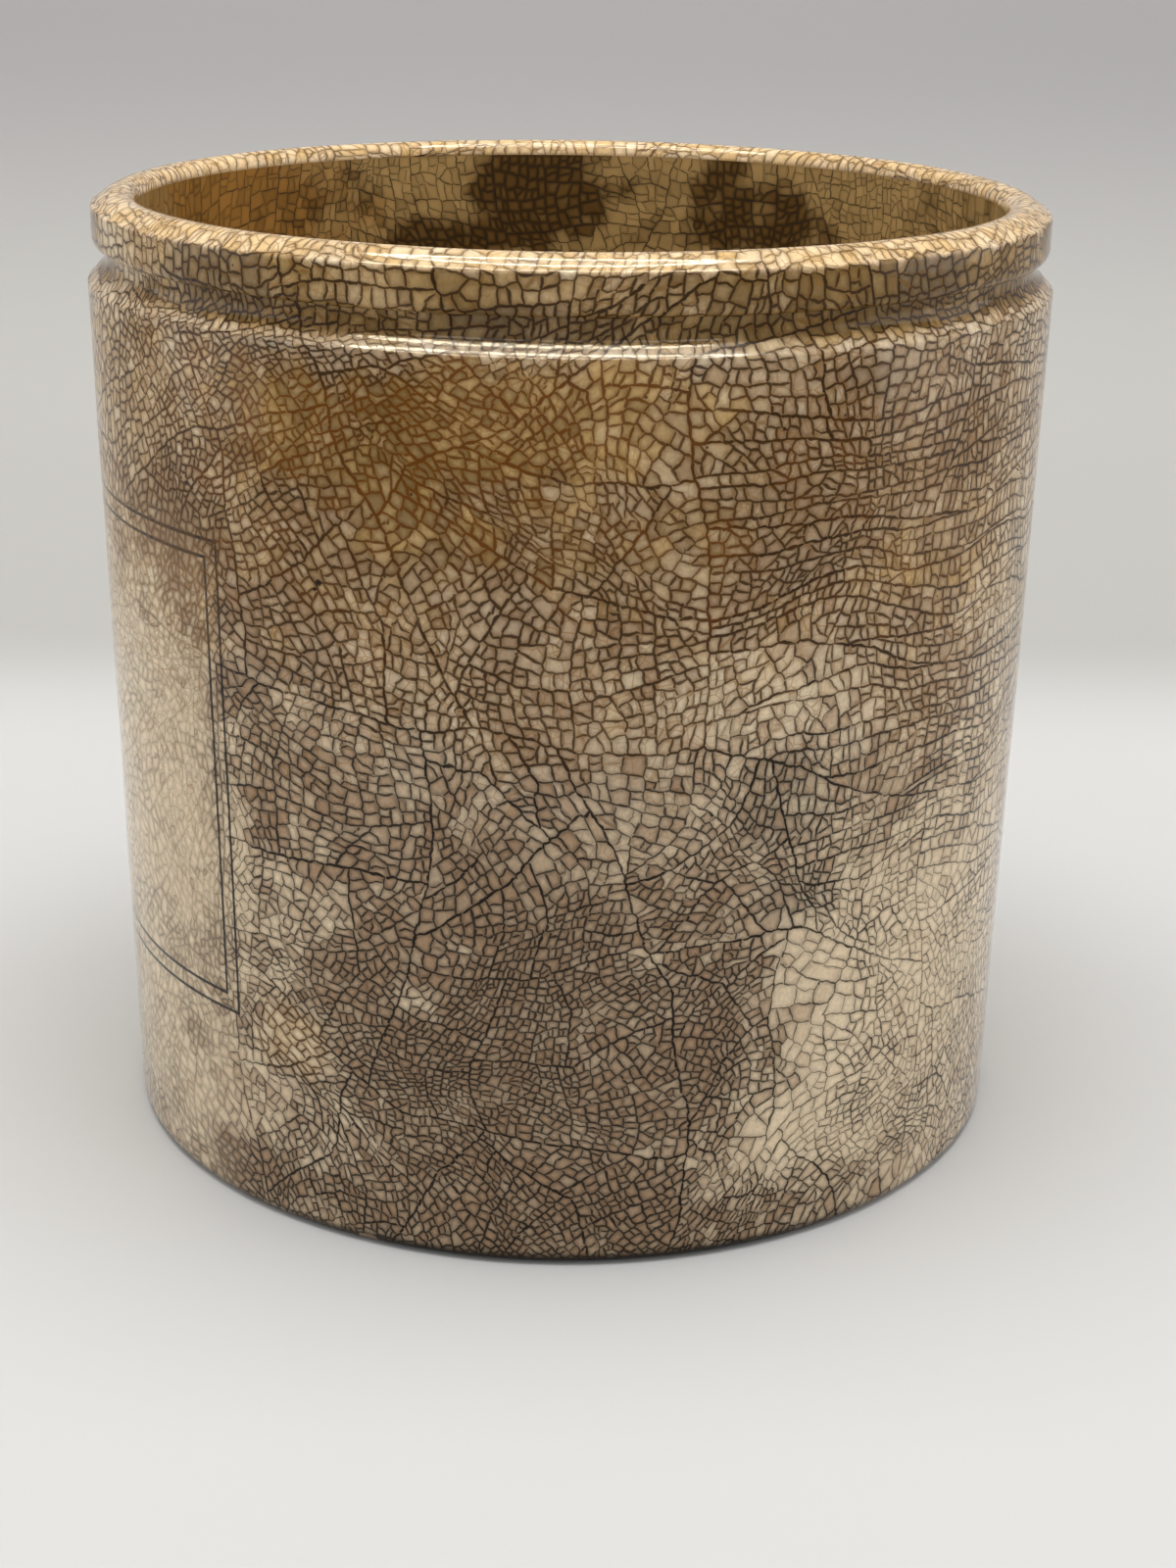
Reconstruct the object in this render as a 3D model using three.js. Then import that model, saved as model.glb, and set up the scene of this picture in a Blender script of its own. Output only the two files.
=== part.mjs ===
import * as THREE from 'three';

// A straight-sided marmalade jar of glazed white earthenware, in millimetres, +Z up, standing on z = 0.
// It has a crowned lip, a collar and groove that hold the string of a tied-on cover, and a bare foot ring.
// The fired clay and each coat of glaze are solids of their own, turned about +Z from shared outlines,
// so a coat lies face to face on the clay that it covers.

// Main sizes
const HEIGHT = 101.7;
const WALL_RADIUS = 51.1; // just under the shoulder
const WALL_TAPER = 1.65; // radius that the wall loses on its way down to the foot
const WALL_THICKNESS = 4.4;
const FLOOR_THICKNESS = 6.0;
const FLOOR_FILLET = 6.0;
const GLAZE_THICKNESS = 0.35;

// Lip, which is crowned and falls towards its outer edge
const LIP_THICKNESS = 4.7;
const LIP_CREST_INSET = 2.8; // from the collar's face to the highest ring of the lip
const LIP_FALL = 1.2; // crest to outer corner
const LIP_CORNER = 0.5;
const LIP_INNER_ROUND = 1.6;

// Collar and string groove, measured down from the crest of the lip
const COLLAR_INSET = 0.6; // collar's face behind the wall's face
const COLLAR_FOOT = 5.5;
const COLLAR_LOWER_ROUND = 1.1;
const GROOVE_DEPTH = 1.3; // in from the collar's face
const GROOVE_MIDDLE = 6.6;
const SHOULDER_EDGE = 8.75; // where the shoulder's slope turns over into the wall
const SHOULDER_SET_BACK = 0.35;
const SHOULDER_RUN = 1.0; // how far in the slope goes
const SHOULDER_RISE = 1.05; // how far up it goes on the way
const WALL_TOP = 9.15;

// Foot ring and the recessed panel inside it
const FOOT_EDGE_ROUND = 1.2;
const FOOT_RING_WIDTH = 4.0;
const BASE_RECESS = 1.5;
const BASE_FILLET = 1.0;
const GLAZE_STOP = 0.2; // glaze is wiped off this far above the table
const WIPED_BEVEL = 0.3;

// Fineness of the turned surfaces
const TURN_STEPS = 48;
const CURVE_STEPS = 3;

const collarRadius = WALL_RADIUS - COLLAR_INSET;
const grooveRadius = collarRadius - GROOVE_DEPTH;
const footRadius = WALL_RADIUS - WALL_TAPER;
const mouthRadius = collarRadius - LIP_THICKNESS;
const insideFootRadius = footRadius - WALL_THICKNESS;
const insideFloor = BASE_RECESS + FLOOR_THICKNESS;
const footRingOuter = footRadius - FOOT_EDGE_ROUND;
const footRingInner = footRingOuter - FOOT_RING_WIDTH;

// Outside of the jar from the foot to the inside edge of the lip, as (radius, height)
function outsideOutline() {
  const path = new THREE.Path();
  const collarFoot = HEIGHT - COLLAR_FOOT;
  const grooveMiddle = HEIGHT - GROOVE_MIDDLE;
  const shoulderEdge = HEIGHT - SHOULDER_EDGE;
  const wallTop = HEIGHT - WALL_TOP;
  const lipCorner = HEIGHT - LIP_FALL;
  const crestRadius = collarRadius - LIP_CREST_INSET;
  const shoulderRadius = WALL_RADIUS - SHOULDER_SET_BACK;
  const slopeRadius = shoulderRadius - SHOULDER_RUN;
  const slopeTop = shoulderEdge + SHOULDER_RISE;
  const grooveTurn = slopeTop + ((slopeRadius - grooveRadius) * SHOULDER_RISE) / SHOULDER_RUN;
  const underCollarRadius = collarRadius - COLLAR_LOWER_ROUND;

  path.moveTo(footRingOuter, GLAZE_STOP);
  path.quadraticCurveTo(footRadius, GLAZE_STOP, footRadius, GLAZE_STOP + FOOT_EDGE_ROUND);
  path.lineTo(WALL_RADIUS, wallTop);
  path.quadraticCurveTo(WALL_RADIUS, (wallTop + shoulderEdge) / 2, shoulderRadius, shoulderEdge);
  path.lineTo(slopeRadius, slopeTop);
  path.quadraticCurveTo(grooveRadius, grooveTurn, grooveRadius, grooveMiddle);
  path.quadraticCurveTo(grooveRadius, collarFoot, underCollarRadius, collarFoot);
  path.quadraticCurveTo(collarRadius, collarFoot, collarRadius, collarFoot + COLLAR_LOWER_ROUND);
  path.lineTo(collarRadius, lipCorner - LIP_CORNER);
  path.quadraticCurveTo(collarRadius, lipCorner, collarRadius - LIP_CORNER, lipCorner);
  path.quadraticCurveTo((collarRadius - LIP_CORNER + crestRadius) / 2, HEIGHT, crestRadius, HEIGHT);
  path.quadraticCurveTo(mouthRadius, HEIGHT, mouthRadius, HEIGHT - LIP_INNER_ROUND);
  return path.getPoints(CURVE_STEPS);
}

// Inside of the jar from the lip down to the middle of its floor
function insideOutline() {
  const path = new THREE.Path();
  path.moveTo(mouthRadius, HEIGHT - LIP_INNER_ROUND);
  path.lineTo(insideFootRadius, insideFloor + FLOOR_FILLET);
  path.quadraticCurveTo(insideFootRadius, insideFloor, insideFootRadius - FLOOR_FILLET, insideFloor);
  path.lineTo(0, insideFloor);
  return path.getPoints(CURVE_STEPS);
}

// Underside from the middle of its recessed panel out to the foot ring
function baseOutline() {
  const path = new THREE.Path();
  path.moveTo(0, BASE_RECESS);
  path.lineTo(footRingInner - BASE_FILLET, BASE_RECESS);
  path.quadraticCurveTo(footRingInner, BASE_RECESS, footRingInner, GLAZE_STOP);
  return path.getPoints(CURVE_STEPS);
}

// The clay under a coat of glaze: the same outline, moved to its left by the glaze's thickness
function underGlaze(outline) {
  return outline.map((point, i) => {
    const before = outline[Math.max(i - 1, 0)];
    const after = outline[Math.min(i + 1, outline.length - 1)];
    const arriving = point.clone().sub(i > 0 ? before : point).normalize();
    const leaving = after.clone().sub(i < outline.length - 1 ? point : after).normalize();
    const along = arriving.add(leaving).normalize();
    return new THREE.Vector2(point.x - along.y * GLAZE_THICKNESS, point.y + along.x * GLAZE_THICKNESS);
  });
}

function turned(name, outline, material) {
  const geometry = new THREE.LatheGeometry(outline, TURN_STEPS);
  geometry.rotateX(Math.PI / 2);
  const mesh = new THREE.Mesh(geometry, material);
  mesh.name = name;
  return mesh;
}

// A coat runs along the glaze's face and back along the clay's, and closes where it began
function coat(name, face, clayFace, material) {
  const outline = [...face, ...clayFace.toReversed()];
  if (outline.at(0).x > 0) {
    outline.push(face.at(0).clone());
  }
  return turned(name, outline, material);
}

const outside = outsideOutline();
const wholeSkin = [...outside, ...insideOutline().slice(1)];
const wholeClay = underGlaze(wholeSkin);
const lipEnd = outside.length - 1;
const base = baseOutline();
const baseClay = underGlaze(base);

const bareClay = new THREE.MeshStandardMaterial({ color: 0xcbb596, roughness: 0.85, metalness: 0.0 });
const stainedGlaze = new THREE.MeshStandardMaterial({ color: 0xa88f6d, roughness: 0.12, metalness: 0.0 });
const innerGlaze = new THREE.MeshStandardMaterial({ color: 0x8f7a58, roughness: 0.15, metalness: 0.0 });
const baseGlaze = new THREE.MeshStandardMaterial({ color: 0xc2ae8c, roughness: 0.15, metalness: 0.0 });

const jar = new THREE.Group();

// Fired earthenware: wall, lip, floor and the bare ring that it stands on
jar.add(
  turned(
    'clay_body',
    [
      ...baseClay,
      new THREE.Vector2(footRingInner + GLAZE_THICKNESS + WIPED_BEVEL, 0),
      new THREE.Vector2(footRingOuter - WIPED_BEVEL, 0),
      ...wholeClay,
    ],
    bareClay,
  ),
);

// Clear glaze outside: wall, shoulder, groove, collar and over the lip
jar.add(coat('outer_glaze', outside, wholeClay.slice(0, lipEnd + 1), stainedGlaze));

// Clear glaze inside, from the edge of the lip down to the floor
jar.add(coat('inner_glaze', wholeSkin.slice(lipEnd), wholeClay.slice(lipEnd), innerGlaze));

// Glaze on the recessed panel within the foot ring
jar.add(coat('base_glaze', base, baseClay, baseGlaze));

export default jar;
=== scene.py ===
import bisect
import math
import random

import bpy
import numpy as np
from mathutils import Matrix, Vector, noise


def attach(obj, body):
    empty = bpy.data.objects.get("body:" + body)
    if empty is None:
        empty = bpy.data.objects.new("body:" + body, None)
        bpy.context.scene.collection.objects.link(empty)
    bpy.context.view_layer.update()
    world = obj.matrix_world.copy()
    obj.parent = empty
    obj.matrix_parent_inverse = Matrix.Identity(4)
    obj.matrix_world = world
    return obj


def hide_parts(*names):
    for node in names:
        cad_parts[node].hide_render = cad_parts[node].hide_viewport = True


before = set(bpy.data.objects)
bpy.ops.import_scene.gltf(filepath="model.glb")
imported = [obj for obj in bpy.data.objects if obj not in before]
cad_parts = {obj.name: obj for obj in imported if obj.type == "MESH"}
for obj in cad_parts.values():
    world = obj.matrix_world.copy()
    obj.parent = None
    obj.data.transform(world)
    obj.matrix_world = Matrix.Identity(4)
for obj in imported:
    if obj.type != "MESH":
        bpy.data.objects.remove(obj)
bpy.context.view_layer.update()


# Clay body. White earthenware, thrown and turned on a wheel and fired before it was glazed.
# Wall, floor, lip, collar and foot are one piece of clay; only the ring that it stands on is bare.
MM = 0.001
HEIGHT = 101.7
WALL_RADIUS = 51.1
WALL_TAPER = 1.65
WALL_THICKNESS = 4.4
FLOOR_THICKNESS = 6.0
FLOOR_FILLET = 6.0
GLAZE_THICKNESS = 0.35
LIP_THICKNESS = 4.7
LIP_CREST_INSET = 2.8
LIP_FALL = 1.2
LIP_CORNER = 0.5
LIP_INNER_ROUND = 1.6
COLLAR_INSET = 0.6
COLLAR_FOOT = 5.5
COLLAR_LOWER_ROUND = 1.1
GROOVE_DEPTH = 1.3
GROOVE_MIDDLE = 6.6
SHOULDER_EDGE = 8.75
SHOULDER_SET_BACK = 0.35
SHOULDER_RUN = 1.0
SHOULDER_RISE = 1.05
SHOULDER_CROWN = 0.08
WALL_TOP = 9.15
FOOT_EDGE_ROUND = 1.2
FOOT_RING_WIDTH = 4.0
BASE_RECESS = 1.5
BASE_FILLET = 1.0
GLAZE_STOP = 0.2
WIPED_BEVEL = 0.3
COLLAR_RADIUS = WALL_RADIUS - COLLAR_INSET
GROOVE_RADIUS = COLLAR_RADIUS - GROOVE_DEPTH
FOOT_RADIUS = WALL_RADIUS - WALL_TAPER
MOUTH_RADIUS = COLLAR_RADIUS - LIP_THICKNESS
INSIDE_FOOT_RADIUS = FOOT_RADIUS - WALL_THICKNESS
INSIDE_FLOOR = BASE_RECESS + FLOOR_THICKNESS
FOOT_RING_OUTER = FOOT_RADIUS - FOOT_EDGE_ROUND
FOOT_RING_INNER = FOOT_RING_OUTER - FOOT_RING_WIDTH


def bend(outline, corner, end, steps=4):
    """Carries an outline round a corner to an end point in a smooth bend."""
    start = outline[-1]
    for i in range(1, steps + 1):
        t = i / steps
        near, middle, far = (1 - t) ** 2, 2 * t * (1 - t), t * t
        outline.append(tuple(near * s + middle * c + far * e for s, c, e in zip(start, corner, end)))


def outside_outline():
    """Foot, wall, shoulder, groove, collar and lip, as (radius, height) in mm."""
    collar_foot = HEIGHT - COLLAR_FOOT
    groove_middle = HEIGHT - GROOVE_MIDDLE
    shoulder = HEIGHT - SHOULDER_EDGE
    wall_top = HEIGHT - WALL_TOP
    lip_corner = HEIGHT - LIP_FALL
    crest = COLLAR_RADIUS - LIP_CREST_INSET
    edge = COLLAR_RADIUS - LIP_CORNER
    line = [(FOOT_RING_OUTER, GLAZE_STOP)]
    bend(line, (FOOT_RADIUS, GLAZE_STOP), (FOOT_RADIUS, GLAZE_STOP + FOOT_EDGE_ROUND))
    line.append((WALL_RADIUS, wall_top))
    bend(line, (WALL_RADIUS, (wall_top + shoulder) / 2), (WALL_RADIUS - SHOULDER_SET_BACK, shoulder))
    slope_start, slope_end = line[-1], (line[-1][0] - SHOULDER_RUN, shoulder + SHOULDER_RISE)
    crown = [(a + b) / 2 + SHOULDER_CROWN for a, b in zip(slope_start, slope_end)]
    bend(line, crown, slope_end, 3)
    groove_turn = slope_end[1] + (slope_end[0] - GROOVE_RADIUS) * SHOULDER_RISE / SHOULDER_RUN
    bend(line, (GROOVE_RADIUS, groove_turn), (GROOVE_RADIUS, groove_middle))
    bend(line, (GROOVE_RADIUS, collar_foot), (COLLAR_RADIUS - COLLAR_LOWER_ROUND, collar_foot))
    bend(line, (COLLAR_RADIUS, collar_foot), (COLLAR_RADIUS, collar_foot + COLLAR_LOWER_ROUND))
    line.append((COLLAR_RADIUS, lip_corner - LIP_CORNER))
    bend(line, (COLLAR_RADIUS, lip_corner), (edge, lip_corner))
    bend(line, ((edge + crest) / 2, HEIGHT), (crest, HEIGHT))
    bend(line, (MOUTH_RADIUS, HEIGHT), (MOUTH_RADIUS, HEIGHT - LIP_INNER_ROUND))
    return line


def inside_outline():
    """From the inner edge of the lip down the inside wall to the middle of the floor."""
    line = [(MOUTH_RADIUS, HEIGHT - LIP_INNER_ROUND)]
    line.append((INSIDE_FOOT_RADIUS, INSIDE_FLOOR + FLOOR_FILLET))
    bend(line, (INSIDE_FOOT_RADIUS, INSIDE_FLOOR), (INSIDE_FOOT_RADIUS - FLOOR_FILLET, INSIDE_FLOOR))
    line.append((0.0, INSIDE_FLOOR))
    return line


def base_outline():
    """From the middle of the recessed panel out to the foot ring."""
    line = [(0.0, BASE_RECESS), (FOOT_RING_INNER - BASE_FILLET, BASE_RECESS)]
    bend(line, (FOOT_RING_INNER, BASE_RECESS), (FOOT_RING_INNER, GLAZE_STOP))
    return line


def headings(outline):
    """The direction of travel at each point of an outline."""
    points = np.array(outline)
    steps = np.diff(points, axis=0)
    steps /= np.linalg.norm(steps, axis=1)[:, None]
    along = np.vstack([steps[:1], steps[:-1] + steps[1:], steps[-1:]])
    return along / np.linalg.norm(along, axis=1)[:, None]


def under_glaze(outline):
    """The face of the clay below a coat of glaze."""
    along = headings(outline)
    points = np.array(outline)
    left = np.stack([-along[:, 1], along[:, 0]], axis=1)
    return [tuple(p) for p in points + left * GLAZE_THICKNESS]


def set_out(name, data):
    """Puts a mesh, lamp or camera into the scene."""
    thing = bpy.data.objects.new(name, data)
    bpy.context.scene.collection.objects.link(thing)
    return thing


def turned(name, outline, steps=160):
    """A solid turned about the jar's axis from a closed outline that begins and ends on the axis."""
    points, faces, rings = [], [], []
    for radius, height in outline:
        count = steps if radius > 1e-6 else 1
        rings.append([len(points) + i % count for i in range(steps + 1)])
        for i in range(count):
            angle = 2 * math.pi * i / steps
            points.append((radius * math.cos(angle) * MM, radius * math.sin(angle) * MM, height * MM))
    for lower, upper in zip(rings, rings[1:]):
        for i in range(steps):
            face = [lower[i], lower[i + 1], upper[i + 1], upper[i]]
            faces.append(list(dict.fromkeys(face)))
    mesh = bpy.data.meshes.new(name)
    mesh.from_pydata(points, [], faces)
    mesh.shade_smooth()
    return set_out(name, mesh)


class Wire:
    """One socket of a finish. Sums on wires, written in Python, become Math nodes."""

    def __init__(self, socket):
        self.socket = socket
        self.tree = socket.id_data

    def node(self, kind, settings, sockets, out=0):
        made = self.tree.nodes.new(kind)
        for name, value in settings.items():
            setattr(made, name, value)
        for name, value in sockets.items():
            if isinstance(value, Wire):
                self.tree.links.new(value.socket, made.inputs[name])
            else:
                made.inputs[name].default_value = value
        return Wire(made.outputs[out])

    def maths(self, operation, *terms):
        return self.node("ShaderNodeMath", {"operation": operation}, dict(enumerate(terms)))

    def vector(self, operation, *terms, out=0):
        return self.node("ShaderNodeVectorMath", {"operation": operation}, dict(enumerate(terms)), out)

    def __add__(self, other):
        return self.maths("ADD", self, other)

    def __radd__(self, other):
        return self.maths("ADD", other, self)

    def __sub__(self, other):
        return self.maths("SUBTRACT", self, other)

    def __rsub__(self, other):
        return self.maths("SUBTRACT", other, self)

    def __mul__(self, other):
        return self.maths("MULTIPLY", self, other)

    def __rmul__(self, other):
        return self.maths("MULTIPLY", other, self)

    def __abs__(self):
        return self.maths("ABSOLUTE", self)

    def feed(self, shader, name):
        self.tree.links.new(self.socket, shader.inputs[name])


def finish(name):
    """A new material with its Principled shader and a wire that carries the place on the jar."""
    material = bpy.data.materials.new(name)
    material.use_nodes = True
    nodes = material.node_tree.nodes
    place = nodes.new("ShaderNodeTexCoord")
    return material, nodes["Principled BSDF"], Wire(place.outputs["Object"])


def mottle(place, size, detail=2.0, stretch=(1.0, 1.0, 1.0)):
    """Soft patches about size mm across, 0 to 1."""
    scaled = place.vector("MULTIPLY", place, stretch)
    sockets = {"Vector": scaled, "Scale": 1.0 / (size * MM), "Detail": detail, "Roughness": 0.55}
    return place.node("ShaderNodeTexNoise", {}, sockets)


def rise(value, low, high):
    """0 below low, 1 above high and smooth between; the other way round where low is above high."""
    sockets = {"Value": value, "From Min": low, "From Max": high}
    return value.node("ShaderNodeMapRange", {"interpolation_type": "SMOOTHSTEP"}, sockets)


def blend(amount, first, second):
    """A colour between two others."""
    return amount.node("ShaderNodeMix", {"data_type": "RGBA"}, {0: amount, 6: first, 7: second}, 2)


def rgb(red, green, blue):
    """A colour as it is seen, 0 to 255, in Blender's own scale."""
    seen = [channel / 255 for channel in (red, green, blue)]
    return tuple(c / 12.92 if c <= 0.04045 else ((c + 0.055) / 1.055) ** 2.4 for c in seen) + (1.0,)


clay_skin = outside_outline() + inside_outline()[1:]
clay_line = under_glaze(base_outline())
clay_line += [(FOOT_RING_INNER + GLAZE_THICKNESS + WIPED_BEVEL, 0.0), (FOOT_RING_OUTER - WIPED_BEVEL, 0.0)]
clay_line += under_glaze(clay_skin)
clay_line[-1] = (0.0, clay_line[-1][1])

bare_clay, shader, place = finish("bare_clay")
grime = rise(mottle(place, 9.0, 4.0), 0.4, 0.7)
grit = mottle(place, 0.7, 3.0)
clay_colour = blend(grime, rgb(186, 166, 138), rgb(128, 108, 86))
clay_colour = blend(rise(grit, 0.62, 0.75) * 0.5, clay_colour, rgb(84, 70, 56))
clay_colour.feed(shader, "Base Color")
shader.inputs["Roughness"].default_value = 0.85
clay_bump = place.node("ShaderNodeBump", {}, {"Strength": 0.3, "Distance": 0.0001, "Height": grit})
clay_bump.feed(shader, "Normal")

clay_body = turned("earthenware_body", clay_line)
clay_body.data.materials.append(bare_clay)
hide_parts("clay_body")
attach(clay_body, "root")


# Outer glaze. A clear lead glaze, dipped on over the wall, shoulder, groove, collar and lip and fired hard.
# Age has crazed it all over: each crack ends square on an older one, and tea-brown dirt has crept in
# along the cracks. A plain double-ruled frame is printed on the clay beneath it. Its colour also holds
# painted light on lip and shoulder, painted shade in the groove and a painted shadow along the foot.
def within(value, low, high):
    """A value kept between two others."""
    return min(max(value, low), high)


def sides(loop):
    """Each point of a closed loop with the next one."""
    return zip(loop, loop[1:] + loop[:1])


class Crazing:
    """A coat of glaze round the jar that cracks in two again and again, until every cell is small.

    A corner is (distance round at the widest girth, distance along the outline), in mm. A cell is a
    loop of corners, and each crack keeps its age, which is higher for later ones. The lines that the
    coat starts from are FIRST and its rims RIM. A side over LONG_SIDE mm gets a corner in its middle.
    """

    FIRST = 5.0
    HAIRLINE = 20.0
    RIM = 99.0
    LONG_SIDE = 2.1
    CALM_MIDDLE = 14.0
    LEAST_RADIUS = 0.4
    CORNER_CLEAR = 0.16  # share of a side that a crack keeps from the side's ends
    MOST_BEND = 0.6  # radians that a crack may turn to meet both sides squarely
    LEAST_BOW = 0.045  # mm; a flatter crack runs straight
    UNEVEN = (0.6, 1.45)  # a cell is small enough between these shares of the area aimed at
    EARLY = 4.5  # a cell above this share of it still follows the slant
    NUDGES = (0.0, 0.35, -0.35, 0.8, -0.8, 1.3)  # turns to try until a crack parts its cell in two
    CLOSE = 1e-4  # mm; heights nearer than this count as level

    def __init__(self, outline, first_cells, seed):
        self.dice = random.Random(seed)
        self.widest = max(radius for radius, _ in outline)
        self.girth = 2 * math.pi * self.widest
        points = np.array(outline)
        steps = np.linalg.norm(np.diff(points, axis=0), axis=1)
        self.marks = np.concatenate([[0.0], np.cumsum(steps)])
        self.points = points
        self.along = headings(outline)
        self.length = self.marks[-1]
        self.corners, self.loops, self.owner, self.age = [], [], {}, {}
        self.generation, self.family = [], []
        self.lay_first_cells(first_cells)

    def radius_at(self, v):
        """The jar's radius at a distance along the outline."""
        i = within(bisect.bisect(self.marks, v), 1, len(self.marks) - 1)
        t = (v - self.marks[i - 1]) / (self.marks[i] - self.marks[i - 1])
        return max(self.points[i - 1][0] * (1 - t) + self.points[i][0] * t, self.LEAST_RADIUS)

    def corner(self, u, v):
        """A new corner."""
        self.corners.append((u % self.girth, v))
        return len(self.corners) - 1

    def mark(self, a, b, age):
        """Gives the crack between two corners its age."""
        self.age[min(a, b), max(a, b)] = age

    def lay_first_cells(self, size):
        """Rows of large cells, unevenly spaced, that the rest of the cracks part."""
        rows = max(1, round(self.length / size))
        uprights, lines = [], []
        for row in range(rows):
            middle = self.radius_at(self.length * (row + 0.5) / rows)
            count = max(3, round(2 * math.pi * middle / size))
            turn = self.dice.random()
            spots = [(i + turn + self.dice.uniform(-0.3, 0.3)) / count * self.girth for i in range(count)]
            uprights.append(sorted(spot % self.girth for spot in spots))
        for line in range(rows + 1):
            spots = set(uprights[line - 1] if line else []) | set(uprights[line] if line < rows else [])
            skew = 0.2 * size if 0 < line < rows else 0.0
            level = self.length * line / rows
            lines.append({u: self.corner(u, level + skew * self.dice.uniform(-1, 1)) for u in sorted(spots)})
        for row in range(rows):
            for left, right in sides(uprights[row]):
                lower = self.between(lines[row], left, right)
                upper = self.between(lines[row + 1], left, right)
                self.add(lower + upper[::-1], 0, len(self.loops))
                for side, outer in ((lower, row == 0), (upper, row == rows - 1)):
                    for a, b in zip(side, side[1:]):
                        self.mark(a, b, self.RIM if outer else self.FIRST)
                self.mark(lower[0], upper[0], self.FIRST)
                self.mark(lower[-1], upper[-1], self.FIRST)

    def between(self, line, left, right):
        """The corners on a level line from left round to right."""
        span = (right - left) % self.girth
        inside = [((u - left) % self.girth, c) for u, c in line.items() if (u - left) % self.girth <= span]
        return [c for _, c in sorted(inside)]

    def add(self, loop, generation, family):
        """A new cell. Cells of one family share a tone."""
        cell = len(self.loops)
        self.loops.append(loop)
        self.generation.append(generation)
        self.family.append(family)
        for a, b in sides(loop):
            self.owner[a, b] = cell
        return cell

    def near(self, u, u0):
        """The distance round u, counted on or back a whole girth so that it lies near u0."""
        return u0 + (u - u0 + self.girth / 2) % self.girth - self.girth / 2

    def flat(self, loop):
        """A cell's corners laid flat, in true mm, about its first corner."""
        u0, v0 = self.corners[loop[0]]
        middle = sum(self.corners[c][1] for c in loop) / len(loop)
        squeeze = self.radius_at(middle) / self.widest
        half = self.girth / 2
        spots = []
        for c in loop:
            u, v = self.corners[c]
            spots.append((((u - u0 + half) % self.girth - half) * squeeze, v - v0))
        return spots, squeeze

    def shape(self, spots):
        """Area, middle, and direction of the long way of a flat cell."""
        area = mx = my = xx = yy = xy = 0.0
        for (ax, ay), (bx, by) in sides(spots):
            cross = ax * by - bx * ay
            area += cross / 2
            mx += (ax + bx) * cross / 6
            my += (ay + by) * cross / 6
            xx += (ax * ax + ax * bx + bx * bx) * cross / 12
            yy += (ay * ay + ay * by + by * by) * cross / 12
            xy += (ax * by + 2 * ax * ay + 2 * bx * by + bx * ay) * cross / 24
        if area < 1e-9:
            return 0.0, spots[0], 0.0
        mx, my = mx / area, my / area
        xx, yy, xy = xx - area * mx * mx, yy - area * my * my, xy - area * mx * my
        return area, (mx, my), 0.5 * math.atan2(2 * xy, xx - yy)

    def crossings(self, spots, through, heading):
        """Where a line square to the heading crosses a flat cell's sides: (side, share along it) twice."""
        nx, ny = math.cos(heading), math.sin(heading)
        side = [(x - through[0]) * nx + (y - through[1]) * ny for x, y in spots]
        found = []
        for i in range(len(spots)):
            a, b = side[i - 1], side[i]
            if (a < 0) != (b < 0):
                share = within(a / (a - b), self.CORNER_CLEAR, 1 - self.CORNER_CLEAR)
                found.append(((i - 1) % len(spots), share))
        return sorted(found) if len(found) == 2 else None

    def squared(self, spots, through, heading):
        """The heading turned so that the crack meets both sides as squarely as it can."""
        found = self.crossings(spots, through, heading)
        if not found:
            return heading
        sines = cosines = 0.0
        for i, _ in found:
            (ax, ay), (bx, by) = spots[i], spots[(i + 1) % len(spots)]
            way = 2 * math.atan2(by - ay, bx - ax)
            sines += math.sin(way)
            cosines += math.cos(way)
        if math.hypot(sines, cosines) < 0.7:
            return heading
        return 0.5 * math.atan2(sines, cosines)

    def split(self, cell, spots, squeeze, through, heading, age):
        """Cracks a cell along a line that is square to the heading. Returns the new cell or None."""
        found = self.crossings(spots, through, heading)
        if not found:
            return None
        loop = list(self.loops[cell])
        count = len(loop)
        u0, v0 = self.corners[loop[0]]
        ends, normals = [], []
        for i, t in reversed(found):
            j = (i + 1) % count
            a, b = self.loops[cell][i], self.loops[cell][j]
            (ax, ay), (bx, by) = spots[i], spots[j]
            x, y = ax + (bx - ax) * t, ay + (by - ay) * t
            c = self.corner(u0 + x / squeeze, v0 + y)
            ends.append((x, y))
            normals.append(math.atan2(bx - ax, ay - by))
            loop.insert(i + 1, c)
            old = self.age.pop((min(a, b), max(a, b)))
            self.mark(a, c, old)
            self.mark(b, c, old)
            del self.owner[a, b]
            other = self.owner.pop((b, a), None)
            if other is not None:
                neighbour = self.loops[other]
                neighbour.insert(neighbour.index(b) + 1, c)
                self.owner[b, c] = other
                self.owner[c, a] = other
        first, second = found[0][0] + 1, found[1][0] + 2
        p, q = loop[first], loop[second]
        kept, new = loop[first:second + 1], loop[second:] + loop[:first + 1]
        (qx, qy), (px, py) = ends
        span = math.hypot(qx - px, qy - py)
        chord = math.atan2(qy - py, qx - px)
        leave = (normals[1] - chord + math.pi) % (2 * math.pi) - math.pi
        arrive = (normals[0] - chord) % (2 * math.pi) - math.pi
        bow = span / 2 * math.tan(within((leave - arrive) / 2, -self.MOST_BEND, self.MOST_BEND) / 2)
        bow += span * self.dice.gauss(0, 0.05)
        room = 0.16 * self.shape(spots)[0] / span
        bow = within(bow, -room, room)
        if span > 1.0 and abs(bow) > self.LEAST_BOW:
            x = (px + qx) / 2 - bow * math.sin(chord)
            y = (py + qy) / 2 + bow * math.cos(chord)
            m = self.corner(u0 + x / squeeze, v0 + y)
            kept.append(m)
            new.append(m)
            self.mark(p, m, age)
            self.mark(q, m, age)
        else:
            self.mark(p, q, age)
        self.loops[cell] = kept
        self.generation[cell] += 1
        for a, b in sides(kept):
            self.owner[a, b] = cell
        return self.add(new, self.generation[cell], len(self.loops))

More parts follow.
